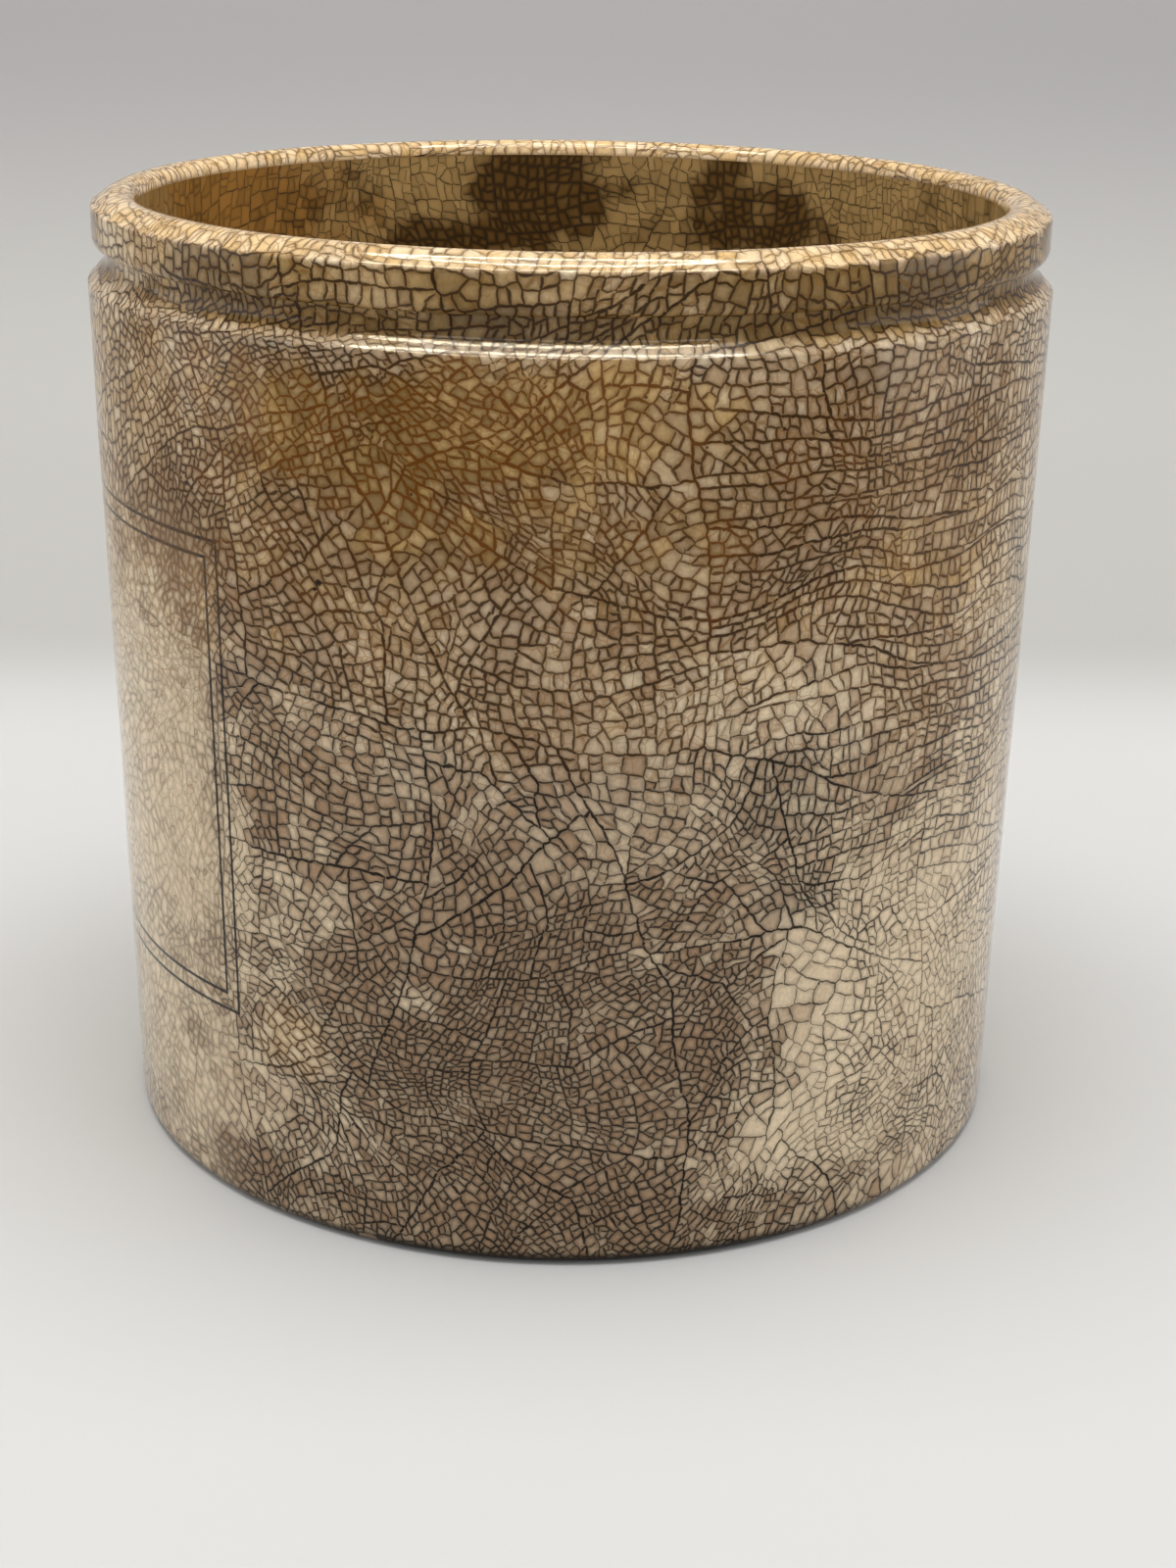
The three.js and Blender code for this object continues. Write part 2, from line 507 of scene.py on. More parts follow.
    def craze(self, cell_area, level_first=lambda u, v: 0.0, slant=lambda u, v: 0.0):
        """Cracks every cell until it is about cell_area(u, v) mm2. level_first(u, v) is the height of the
        bands that long level cracks make before upright ones cross them, or 0. Early cracks follow
        slant(u, v), an angle that drifts over the jar, or run square to it."""
        waiting = list(range(len(self.loops)))
        while waiting:
            cell = waiting.pop()
            spots, squeeze = self.flat(self.loops[cell])
            area, middle, long_way = self.shape(spots)
            u0, v0 = self.corners[self.loops[cell][0]]
            u, v = u0 + middle[0] / squeeze, v0 + middle[1]
            aim = cell_area(u, v)
            if area < aim * self.dice.uniform(*self.UNEVEN):
                continue
            band = level_first(u, v)
            across = max(x for x, _ in spots) - min(x for x, _ in spots)
            early = area > aim * self.EARLY
            reach = math.sqrt(area) * self.dice.uniform(-0.15, 0.15)
            through = (middle[0] + reach * math.cos(long_way), middle[1] + reach * math.sin(long_way))
            if band and area / across > band * self.dice.uniform(1.2, 1.7):
                heading = math.pi / 2 + self.dice.gauss(0, 0.06)
            elif early and not band:
                quarter = round((long_way - slant(u, v)) / (math.pi / 2)) * math.pi / 2
                heading = slant(u, v) + quarter + self.dice.gauss(0, 0.12)
            else:
                heading = long_way + self.dice.gauss(0, 0.16)
                heading = self.squared(spots, through, heading) + self.dice.gauss(0, 0.12)
            age = max(self.generation[cell] + 1 + self.dice.gauss(0, 1.2), 0.0)
            for nudge in self.NUDGES:
                new = self.split(cell, spots, squeeze, through, heading + nudge, age)
                if new is not None:
                    waiting += [cell, new]
                    break

    def relax(self, ease):
        """Eases each meeting of cracks towards the middle of the cells round it, so that slivers fill out
        and straight cracks take the small kinks that later ones pull in them. ease(u, v) is 0 to 1."""
        pulls, joined, moves = {}, {}, {}
        for loop in self.loops:
            spots, squeeze = self.flat(loop)
            _, (mx, my), _ = self.shape(spots)
            for c, (x, y) in zip(loop, spots):
                pulls.setdefault(c, []).append(((mx - x) / squeeze, my - y))
        for a, b in self.age:
            joined.setdefault(a, []).append(b)
            joined.setdefault(b, []).append(a)
        free = {c: around for c, around in pulls.items() if 1e-3 < self.corners[c][1] < self.length - 1e-3}
        for c, around in free.items():
            if len(around) > 2:
                share = ease(*self.corners[c]) / len(around)
                moves[c] = sum(p[0] for p in around) * share, sum(p[1] for p in around) * share
        for c, around in free.items():
            if len(around) == 2:
                beside = [moves[n] for n in joined[c] if n in moves]
                if beside:
                    moves[c] = sum(m[0] for m in beside) / 2, sum(m[1] for m in beside) / 2
        for c, (du, dv) in moves.items():
            u, v = self.corners[c]
            self.corners[c] = (u + du) % self.girth, v + dv

    def hairlines(self, chance):
        """Fine late cracks, which part a cell without changing its tone."""
        for cell in range(len(self.loops)):
            spots, squeeze = self.flat(self.loops[cell])
            area, middle, long_way = self.shape(spots)
            u0, v0 = self.corners[self.loops[cell][0]]
            if self.dice.random() > chance(u0, v0) * min(area / 3.0, 1.6):
                continue
            heading = long_way + self.dice.gauss(0, 0.5)
            new = self.split(cell, spots, squeeze, middle, heading, self.HAIRLINE)
            if new is not None:
                self.family[new] = self.family[cell]

    def spot(self, u, v):
        """A place on the sheet as a point on an even drum, in mm, for noise that joins up round the jar."""
        angle = u / self.widest
        return Vector((self.widest * math.sin(angle), -self.widest * math.cos(angle), v))

    def warped(self, u, v, sway):
        """A place moved so that cracks run in slow curves, less and less towards the jar's axis."""
        at = self.spot(u, v)
        free = min(1.0, v / 3.0, (self.length - v) / 3.0)
        radius = self.radius_at(v)
        calm = min(1.0, (radius / self.CALM_MIDDLE) ** 2)
        du = dv = 0.0
        for wave, reach, shift in sway:
            aside = Vector((shift, -shift, 3.7 * shift))
            du += reach * noise.noise(at / wave + aside)
            dv += reach * noise.noise(at / wave - aside)
        return u + du * calm * self.widest / radius, v + dv * free * calm

    def sheet(self, sway, level_marks):
        """The cells as a mesh: fans round each cell's middle, cut where the outline bends.

        A face is its corners, their distances from the crack, what evens these out over the cell, the
        crack's age, the cell, and which way the crack faces.
        """
        places = [self.warped(u, v, sway) for u, v in self.corners]
        faces, middles, centre_of = [], {}, {}
        for cell, loop in enumerate(self.loops):
            path = []
            for a, b in sides(loop):
                key = min(a, b), max(a, b)
                path.append((a, self.age[key]))
                (ua, va), (ub, vb) = self.corners[a], self.corners[b]
                ub = self.near(ub, ua)
                if (ub - ua) ** 2 + (vb - va) ** 2 > self.LONG_SIDE ** 2:
                    if key not in middles:
                        middles[key] = len(places)
                        places.append(self.warped((ua + ub) / 2, (va + vb) / 2, sway))
                    path.append((middles[key], self.age[key]))
            u0, v0 = places[path[0][0]]
            squeeze = self.radius_at(v0) / self.widest
            spots = [((self.near(places[c][0], u0) - u0) * squeeze, places[c][1] - v0) for c, _ in path]
            area, middle, _ = self.shape(spots)
            if area <= 0.0:
                middle = tuple(sum(s) / len(spots) for s in zip(*spots))
            hub = len(places)
            places.append((u0 + middle[0] / squeeze, v0 + middle[1]))
            centre_of[cell] = hub
            gaps, facing = [], []
            for (ax, ay), (bx, by) in sides(spots):
                edge = math.hypot(bx - ax, by - ay)
                cross = (bx - ax) * (middle[1] - ay) - (by - ay) * (middle[0] - ax)
                gaps.append(max(cross, 1e-6) / max(edge, 1e-6))
                facing.append(1.0 if 0.5 * (ay - by) + 0.87 * (bx - ax) > 0 else -1.0)
            even = sum(gaps) / len(gaps)
            count = len(path)
            for i in range(count):
                ids = [path[i][0], path[(i + 1) % count][0], hub]
                faces.append((ids, [0.0, 0.0, gaps[i]], even / gaps[i], path[i][1], cell, facing[i]))
        cut, sliced = {}, []
        for face in faces:
            rest = face
            heights = [places[i][1] for i in face[0]]
            low, high = min(heights), max(heights)
            first = bisect.bisect_right(level_marks, low + self.CLOSE)
            last = bisect.bisect_left(level_marks, high - self.CLOSE)
            for level in range(first, last):
                below, rest = self.slice(rest, level_marks[level], level, places, cut)
                sliced.append(below)
            sliced.append(rest)
        return places, sliced, centre_of

    def slice(self, face, height, level, places, cut):
        """Parts a face along a level line into what lies below and above it."""
        ids, gaps = face[0], face[1]
        below, above = ([], []), ([], [])
        for i, a in enumerate(ids):
            j = (i + 1) % len(ids)
            b = ids[j]
            ha, hb = places[a][1] - height, places[b][1] - height
            if ha <= self.CLOSE:
                below[0].append(a)
                below[1].append(gaps[i])
            if ha >= -self.CLOSE:
                above[0].append(a)
                above[1].append(gaps[i])
            if min(ha, hb) < -self.CLOSE and max(ha, hb) > self.CLOSE:
                key = (min(a, b), max(a, b), level)
                t = ha / (ha - hb)
                if key not in cut:
                    ua = places[a][0]
                    ub = self.near(places[b][0], ua)
                    cut[key] = len(places)
                    places.append((ua + (ub - ua) * t, height))
                gap = gaps[i] + (gaps[j] - gaps[i]) * t
                for part in (below, above):
                    part[0].append(cut[key])
                    part[1].append(gap)
        return (below[0], below[1]) + face[2:], (above[0], above[1]) + face[2:]


def crazed_coat(name, net, sway, stains, wobble, dome, tilt, seed):
    """The mesh of a crazed coat with its cracks, tones and stains held as attributes.

    sway is (wave, reach, shift) in mm for each curve that the cracks follow, and wobble is (wave, reach)
    for each swell of the glaze. stains(angle, height, points) gives the tea, rust and soot at places on the
    jar; on the outside these also carry painted light and shade. Cells are domed and tilted a little, by
    slopes, so each catches the light on its own.
    """
    places, faces, centre_of = net.sheet(sway, list(net.marks[1:-1]))
    loops, gaps, even, age, cell, facing = zip(*(face for face in faces if len(face[0]) > 2))
    u, v = np.array(places).T
    v = np.clip(v, 0.0, net.length)
    angle = u / net.widest
    radius = np.interp(v, net.marks, net.points[:, 0])
    height = np.interp(v, net.marks, net.points[:, 1])
    out_r = np.interp(v, net.marks, net.along[:, 1])
    out_z = np.interp(v, net.marks, -net.along[:, 0])
    drum = np.stack([radius * np.sin(angle), -radius * np.cos(angle), height], axis=1)
    swell = np.zeros(len(drum))
    for wave, reach in wobble:
        swell += reach * np.array([noise.noise(Vector(p) / wave) for p in drum])
    swell *= np.clip(np.minimum(v, net.length - v) / 2.0, 0.0, 1.0)
    radial = np.stack([np.sin(angle), -np.cos(angle), np.zeros(len(u))], axis=1)
    normal = radial * out_r[:, None]
    normal[:, 2] = out_z
    normal /= np.linalg.norm(normal, axis=1)[:, None]
    points = drum + normal * swell[:, None]
    mesh = bpy.data.meshes.new(name)
    mesh.from_pydata((points * MM).tolist(), [], loops)

    sizes = np.array([len(loop) for loop in loops])
    corner_ids = np.concatenate(loops)
    cell = np.array(cell)
    family = np.array(net.family)[cell]
    hub = np.array([centre_of[c] for c in range(len(net.loops))])
    toss = np.random.default_rng(seed)
    tones = toss.random((len(net.loops), 3))
    leans = toss.normal(0.0, tilt, (len(net.loops), 2))
    stain = stains(np.degrees(angle), height, points)

    def hold(label, kind, domain, values):
        held = mesh.attributes.new(label, kind, domain)
        held.data.foreach_set("vector" if kind == "FLOAT_VECTOR" else "value", np.ravel(values))

    hold("gap", "FLOAT", "CORNER", np.concatenate(gaps))
    hold("even", "FLOAT", "FACE", even)
    hold("age", "FLOAT", "FACE", age)
    hold("side", "FLOAT", "FACE", facing)
    hold("tone", "FLOAT_VECTOR", "FACE", tones[family])
    hold("stain", "FLOAT_VECTOR", "POINT", stain)
    hold("cell_stain", "FLOAT_VECTOR", "FACE", stain[hub][family])

    corner_cell = np.repeat(cell, sizes)
    hubs = hub[corner_cell]
    du = (u[corner_ids] - u[hubs] + net.girth / 2) % net.girth - net.girth / 2
    du *= radius[corner_ids] / net.widest
    dv = v[corner_ids] - v[hubs]
    away = np.maximum(np.hypot(du, dv), 1e-6)
    push = dome * np.clip(away / 0.5, 0.0, 1.0) / away
    lean_u = du * push + leans[corner_cell, 0]
    lean_v = dv * push + leans[corner_cell, 1]
    round_way = np.stack([np.cos(angle), np.sin(angle), np.zeros(len(u))], axis=1)
    up_way = np.cross(normal, round_way)
    bent = normal[corner_ids] + round_way[corner_ids] * lean_u[:, None] + up_way[corner_ids] * lean_v[:, None]
    bent /= np.linalg.norm(bent, axis=1)[:, None]
    mesh.shade_smooth()
    mesh.normals_split_custom_set(bent.tolist())

    first_corner = np.concatenate([[0], np.cumsum(sizes)[:-1]])
    u_first = np.repeat(u[corner_ids[first_corner]] % net.girth, sizes)
    u_corner = net.near(u[corner_ids], u_first)
    margin = 12.0
    map_width = net.girth + 2 * margin
    unrolled = np.stack([u_corner + margin, v[corner_ids]], axis=1) / map_width
    mesh.uv_layers.new(name="OFBake").data.foreach_set("uv", np.ravel(unrolled))
    return set_out(name, mesh)


MM_PER_DEGREE = math.radians(WALL_RADIUS)


def spread(blotches, angle, height, ragged, soft=0.7):
    """How strong a set of stains is at each place: 0 clean, 1 full. Angles are from the frame's middle."""
    clear = np.ones(len(angle))
    for middle, level, half_width, half_height, strength in blotches.values():
        across = ((angle - middle + 180.0) % 360.0 - 180.0) * MM_PER_DEGREE / half_width
        reach = np.hypot(across, (height - level) / half_height) + ragged
        clear *= 1.0 - strength * np.clip((1.0 + soft / 2 - reach) / soft, 0.0, 1.0)
    return 1.0 - clear


# Stains are (angle from the frame's middle, height, half width, half height, strength), in degrees and mm
TEA = {
    "lower_middle": (76, 24, 19, 14, 0.7),
    "bottom_band": (75, 4.5, 25, 6, 0.8),
    "above_bottom": (69, 14, 17, 6, 0.5),
    "sharp_edge": (92, 25, 5, 5, 0.35),
    "lower_left": (36, 4.5, 8, 4, 0.7),
    "left_of_middle": (54, 26, 9, 6, 0.5),
    "middle_veil": (72, 47, 22, 18, 0.4),
    "left_smudge": (44, 50, 7, 9, 0.25),
    "middle_left": (60, 40, 15, 8, 0.4),
    "upper_veil": (68, 69, 44, 8, 0.22),
    "upper_left": (49, 81, 14, 10, 0.5),
    "under_the_top": (77, 79, 20, 8, 0.2),
    "collar_right": (106, 98.5, 30, 4, 0.5),
    "upper_spot": (82, 69, 3, 3, 0.4),
    "upper_right": (104, 82, 17, 9, 0.55),
    "right_side": (120, 56, 12, 13, 0.5),
    "frame_top": (28, 68, 16, 9, 0.6),
    "upper_left_limb": (18, 84, 16, 10, 0.15),
    "upper_right_limb": (124, 84, 10, 10, 0.3),
    "right_foot": (109, 3.5, 12, 4, 0.5),
    "beside_frame": (36, 58, 8, 9, 0.3),
    "below_frame": (36, 26, 10, 12, 0.35),
}
RUST = {
    "top_middle": (70, 87, 18, 6, 1.0),
    "top_left_of_middle": (56, 86, 16, 8, 0.7),
    "under_top": (74, 79, 18, 8, 0.5),
    "frame_corner": (42, 21.5, 4.5, 4, 0.7),
    "right_side": (124, 62, 10, 11, 0.3),
    "upper_left": (20, 80, 34, 18, 0.52),
    "upper_middle": (74, 67, 34, 11, 0.38),
    "upper_right": (110, 82, 30, 16, 0.5),
    "collar": (64, 101, 34, 6, 0.45),
}
SOOT = {
    "right_upper": (101, 49, 6, 6, 0.5),
    "right_lower": (103, 39, 6, 3.5, 0.45),
    "thin_streak": (100, 71, 1.6, 5, 0.35),
    "top_right": (109, 90, 6, 3, 0.5),
    "crack_cluster": (114, 13, 3.5, 2.5, 0.3),
    "by_the_chip": (54.6, 1.5, 2, 1.2, 0.6),
    "dirty_collar": (36, 97.5, 9, 3.5, 0.55),
    "dirty_groove": (70, 95.5, 9, 2, 0.55),
    "collar_smudge": (118, 98.5, 5, 3.5, 0.6),
}
BLEACHED = {
    "lower_right": (113, 24, 9, 12, 0.95),
    "far_lower_right": (130, 30, 14, 16, 0.9),
    "right_upper": (98, 60, 8, 5, 0.45),
    "round_the_frame": (8, 44, 26, 25, 0.95),
    "bottom_right": (112, 12, 12, 6, 0.7),
    "lower_left": (14, 12, 14, 9, 0.6),
    "frame_corner": (42, 21.5, 4.5, 4, 0.85),
    "pale_dash": (58.5, 29, 3, 1.5, 0.6),
    "pale_spot": (85.4, 34.5, 2.5, 2, 0.6),
    "pale_foot": (101, 12, 3, 6, 0.8),
    "right_wall": (130, 54, 10, 10, 0.25),
    "white_cells": (85, 83, 7, 6, 0.3),
    "collar_far_left": (15, 98.5, 9, 5, 0.85),
    "collar_front": (77, 98.5, 7, 3, 0.35),
    "collar_white_cells": (92, 98.5, 13, 3, 0.2),
    "collar_far_right": (132, 98.5, 9, 4, 0.2),
    "collar_pale_cells": (55, 98, 7, 2.5, 0.4),
}
# Cells are finer or broader at these places, which have the distance along the outline for their height
FINE_CELLS = {
    "lower_middle": (76, 22, 24, 16, 1.0),
    "bottom": (70, 4, 40, 6, 0.9),
    "crack_cluster": (116, 12, 7, 6, 0.9),
    "left_middle": (44, 40, 12, 16, 0.4),
    "upper_left": (44, 80, 26, 16, 0.4),
    "lip": (76, 107, 400, 3.2, 0.4),
}
BROAD_CELLS = {
    "lower_right": (104, 25, 5, 6, 1.0),
    "above_lower_right": (100, 33, 4, 4, 0.8),
    "pale_foot": (101, 12, 3, 4, 1.0),
    "right_upper": (97, 60, 9, 6, 0.3),
    "middle": (72, 52, 14, 7, 0.15),
    "collar": (76, 101.5, 400, 2.2, 0.14),
    "back": (256, 50, 88, 70, 0.62),
}
unseen = random.Random(41)


def unseen_stain(*ranges):
    """A stain somewhere within ranges of angle, height, half width, half height and strength."""
    return tuple(unseen.uniform(low, high) for low, high in ranges)


BACK = (165, 345)
for number in range(9):
    TEA[f"back_{number}"] = unseen_stain(BACK, (4, 88), (6, 22), (5, 16), (0.3, 0.8))
    BLEACHED[f"back_{number}"] = unseen_stain(BACK, (4, 88), (5, 16), (5, 16), (0.5, 0.9))
for number in range(5):
    RUST[f"back_{number}"] = unseen_stain(BACK, (55, 92), (6, 18), (4, 9), (0.4, 0.9))
    SOOT[f"back_{number}"] = unseen_stain(BACK, (8, 90), (3, 7), (2, 6), (0.3, 0.5))


def ragged_edge(points, amounts):
    """Uneven edges for stains: a sum of noises, each (patch size in mm, strength)."""
    return sum(s * np.array([noise.noise(Vector(p) / size) for p in points]) for size, s in amounts)


def outer_stains_and_painted_light(angle, height, points):
    """Stains of the outside, with painted light and shade. Dirt gathers on the collar. The groove is darker
    as painted shade; the lip and shoulder, which face up, are lighter as painted light, and the lip is more
    golden.
    """
    ragged = ragged_edge(points, ((16.0, 0.35), (5.0, 0.4), (2.0, 0.3)))
    bleached = spread(BLEACHED, angle, height, ragged, 1.0)
    tea = spread(TEA, angle, height, -ragged, 1.0)
    rust = spread(RUST, angle, height, ragged * 0.8)
    soot = spread(SOOT, angle, height, ragged * 0.7)
    patches = ragged_edge(points + 40.0, ((9.0, 0.28), (3.0, 0.16)))
    tea = np.clip(0.38 + 0.72 * tea + patches * 0.6, 0.0, 1.0) * (1.0 - 0.9 * bleached)
    rust *= 1.0 - 0.6 * bleached
    down = HEIGHT - height
    lip = np.clip((1.5 - down) / 0.3, 0.0, 1.0)
    collar = np.clip((down - 1.3) / 0.4, 0.0, 1.0) * np.clip((9.0 - down) / 0.8, 0.0, 1.0)
    groove = np.clip(1.0 - abs(down - 6.2) / 1.8, 0.0, 1.0)
    shoulder = np.clip(1.5 - abs(down - 8.4) / 0.5, 0.0, 1.0)
    # Painted light and shade by height: the lip and shoulder are made lighter, as if lit from above, and the
    # groove darker, as painted shade.
    tea = (tea + 0.2 * collar * (1.0 - bleached)) * (1.0 - 0.85 * lip) * (1.0 - 0.8 * shoulder)
    tea += 0.12 * groove
    rust = np.maximum(rust, 0.62 * lip + 0.9 * collar * (1.0 - 0.6 * bleached)) * (1.0 - 0.4 * shoulder)
    return np.stack([np.clip(tea, 0, 1), rust, soot * (1.0 - 0.9 * lip)], axis=1)


outside = outside_outline()
outer_net = Crazing(outside, 60.0, 11)
MEAN_CELL = 2.2
FINE_CELL = 1.2
BROAD_CELL = 8.7
BAND_HEIGHT = 2.1
BAND_ANGLES = (106.0, 150.0)
BAND_LEVELS = (36.0, 90.0)
GRID = 2.0
grid_angle, grid_height = np.meshgrid(np.arange(0.0, 362.0, GRID), np.arange(0.0, HEIGHT + 20.0, GRID))
grid_shape, calm = grid_angle.shape, np.zeros(grid_angle.size)
fine = spread(FINE_CELLS, grid_angle.ravel(), grid_height.ravel(), calm).reshape(grid_shape)
broad = spread(BROAD_CELLS, grid_angle.ravel(), grid_height.ravel(), calm).reshape(grid_shape)
outer_areas = MEAN_CELL + (FINE_CELL - MEAN_CELL) * fine + (BROAD_CELL - MEAN_CELL) * broad * (1.0 - fine)


def outer_cell_area(u, v):
    """How large cells are at a place, in mm2."""
    column = int(math.degrees(u / outer_net.widest) % 360.0 / GRID)
    return outer_areas[int(within(v, 0.0, HEIGHT + 15.0) / GRID), column]


def outer_bands(u, v):
    """How high the level bands are on the side that has them, or 0."""
    angle = math.degrees(u / outer_net.widest) % 360.0
    banded = BAND_ANGLES[0] < angle < BAND_ANGLES[1] and BAND_LEVELS[0] < v < BAND_LEVELS[1]
    return BAND_HEIGHT if banded else 0.0


def outer_slant(u, v):
    """Long cracks lie level on the collar and run aslant, one way and the other, below it."""
    turn = noise.noise(outer_net.spot(u, v) / 20.0 + Vector((5.0, 0.0, 0.0)))
    return turn * 2.4 * within((104.0 - v) / 14.0, 0.3, 1.0)


outer_net.craze(outer_cell_area, outer_bands, outer_slant)
outer_net.relax(lambda u, v: 0.1 if outer_bands(u, v) else 0.3)
outer_net.hairlines(lambda u, v: 0.05)
SWAY = ((24.0, 4.0, 1.0), (8.0, 1.1, 2.0), (2.4, 0.15, 3.0))
WOBBLE = ((17.0, 0.07), (5.0, 0.008))
outer_glaze = crazed_coat(
    "outer_glaze_coat", outer_net, SWAY, outer_stains_and_painted_light, wobble=WOBBLE, dome=0.011, tilt=0.0045, seed=5
)


def attribute(place, name, out="Fac"):
    """A value that a mesh holds."""
    return place.node("ShaderNodeAttribute", {"attribute_name": name}, {}, out)


def parts(place, vector):
    """The three numbers of a vector."""
    split = place.node("ShaderNodeSeparateXYZ", {}, {0: vector})
    return [Wire(socket) for socket in split.socket.node.outputs]


def crack_lines(place, width_young, width_old, widen):
    """1 in a crack and 0 beside it, then the same for the fine late cracks. Dirt widens a crack."""
    gap = attribute(place, "gap")
    age = attribute(place, "age")
    old = rise(age, 11.0, 2.0)
    uneven = 0.5 + 1.0 * mottle(place, 1.6, 2.0)
    width = (width_young + (width_old - width_young) * old + widen) * uneven
    hair = rise(age, 15.0, 19.0)
    rim = rise(age, 60.0, 80.0)
    wander = attribute(place, "side") * ((mottle(place, 1.3, 1.0) - 0.5) * 0.62) * (1 - rim)
    line = rise(abs(gap - wander) - width, 0.045, -0.03)
    fine = rise(gap, 0.07, 0.0)
    return line * (1 - hair) * (0.86 + 0.14 * old), fine * hair * (1 - rim)


def hair_cracks(place, size, tone):
    """Hair-thin cracks within the cells, other ones in each cell."""
    shift = place.node("ShaderNodeVectorMath", {"operation": "SCALE"}, {0: tone, "Scale": 0.05})
    moved = place.vector("ADD", place, shift)
    cells = place.node(
        "ShaderNodeTexVoronoi",
        {"feature": "DISTANCE_TO_EDGE"},
        {"Vector": moved, "Scale": 1.0 / (size * MM), "Randomness": 0.8},
    )
    return rise(cells, 0.06, 0.01)


PRINT_HALF_ANGLE = 33.95
PRINT_TOP = 72.2
PRINT_BOTTOM = 22.0
PRINT_INSET = 1.83
PRINT_RULE = 0.36
CREAM = rgb(216, 197, 167)
TEA_BROWN = rgb(142, 116, 90)
OCHRE = rgb(187, 145, 68)
AMBER_BROWN = rgb(112, 88, 48)
SOOT_GREY = rgb(96, 86, 74)
# The darkest crack colour below is also used for the painted shadow along the foot.
CRACK_AND_SHADOW_UMBER = rgb(24, 16, 7)
CRACK_BROWN = rgb(48, 35, 19)
CRACK_RUST = rgb(58, 35, 4)
CRACK_ORANGE = rgb(98, 53, 2)
RUST_CREEP = rgb(150, 102, 28)
HAIR_RUST = rgb(136, 94, 38)
INK = rgb(30, 34, 36)


def stains_at(place, by_cell):
    """Tea, rust and soot, partly as they lie and partly evened out within each cell."""
    lying = attribute(place, "stain", "Vector")
    evened = attribute(place, "cell_stain", "Vector")
    mixed = place.node("ShaderNodeMix", {"data_type": "VECTOR"}, {0: by_cell, 4: lying, 5: evened}, 1)
    return parts(place, mixed)


def lit(colour, amount):
    """A colour made lighter or darker."""
    return colour.node("ShaderNodeVectorMath", {"operation": "SCALE"}, {0: colour, "Scale": amount})


outer_finish, shader, place = finish("outer_glaze")
tone_vector = attribute(place, "tone", "Vector")
tone, warmth, _ = parts(place, tone_vector)
tea, rust, soot = stains_at(place, 0.65)
east, north, height = parts(place, place)
cloud = mottle(place, 3.2, 4.0)
speckle = mottle(place, 0.35, 3.0)
grit = mottle(place, 0.9, 3.0)
tea = tea + (tone - 0.5) * 0.58 + (cloud - 0.5) * 0.5 + (grit - 0.5) * 0.4
depth = attribute(place, "gap") * attribute(place, "even")
halo = rise(depth, 0.55, 0.0)
dirt = rise(tea * 0.8 + soot * 0.8 + (mottle(place, 8.0, 3.0) - 0.5) * 1.5, -0.15, 0.65)
rusted = rise(rust, 0.02, 0.3)
line, hair = crack_lines(place, 0.046, 0.08, 0.045 * dirt + 0.026 * rusted)

glaze = blend(rise(rust + (cloud - 0.5) * 0.6 + (warmth - 0.5) * 0.3, 0.1, 1.05) * 0.78, CREAM, OCHRE)
soaked = blend(rise(rust, 0.35, 0.95), TEA_BROWN, AMBER_BROWN)
glaze = blend(rise(tea, -0.2, 1.15), glaze, soaked)
glaze = blend(rise(soot + (cloud - 0.5) * 0.3, 0.1, 1.0) * 0.75, glaze, SOOT_GREY)
up = height * (1 / MM)
lip = rise(up, HEIGHT - 1.7, HEIGHT - 1.2)
collar_zone = rise(up, HEIGHT - 8.6, HEIGHT - 8.0)
# The 0.3 * lip term is painted light: it makes the lip's upward face lighter.
lightness_with_painted_lip_light = 0.84 + 0.24 * tone + 0.14 * rise(depth, 0.15, 0.7) + (speckle - 0.5) * 0.55 + 0.3 * lip
glaze = lit(glaze, lightness_with_painted_lip_light)

turn = place.maths("ARCTAN2", east, 0.0 - north)
shiver = mottle(place, 1.1, 2.0) - 0.5
across = abs(turn * WALL_RADIUS) + shiver * 0.12
level = up + shiver * 0.12
print_half = math.radians(PRINT_HALF_ANGLE) * WALL_RADIUS
print_middle = (PRINT_TOP + PRINT_BOTTOM) / 2
print_rise = (PRINT_TOP - PRINT_BOTTOM) / 2
from_frame = place.maths("MAXIMUM", across - print_half, abs(level - print_middle) - print_rise)
rules = 0.0
for inset in (0.0, PRINT_INSET):
    rules = rules + rise(abs(from_frame + inset), PRINT_RULE / 2 + 0.06, PRINT_RULE / 2 - 0.06)
inked = rules * (0.8 + 0.3 * mottle(place, 0.8, 2.0))
glaze = blend(inked, glaze, INK)

crack_colour = blend(dirt, CRACK_BROWN, CRACK_AND_SHADOW_UMBER)
crack_colour = blend(rusted * (1 - 0.35 * dirt), crack_colour, CRACK_RUST)
bright = rise(rust + (mottle(place, 4.0, 3.0) - 0.5) * 1.2, 0.4, 1.0) * (1 - collar_zone)
faint = rise(across - print_half, 2.0, -4.0) * rise(level, PRINT_TOP + 4.0, PRINT_TOP - 2.0)
fine_zone = rise(up, 30.0, 56.0) * rise(mottle(place, 11.0, 2.0), 0.36, 0.56)
glaze = blend(hair_cracks(place, 1.5, tone_vector) * fine_zone * 0.55, glaze, HAIR_RUST)
glaze = blend(halo * (0.08 + 0.36 * dirt), glaze, crack_colour)
glaze = blend(rise(depth, 0.4, 0.0) * rusted * 0.26, glaze, RUST_CREEP)
crack_colour = blend(bright, crack_colour, CRACK_ORANGE)
glaze = blend(line * (0.8 + 0.2 * dirt) * (1 - 0.65 * faint) * (1 - 0.25 * lip), glaze, crack_colour)
glaze = blend(hair * 0.6, glaze, HAIR_RUST)
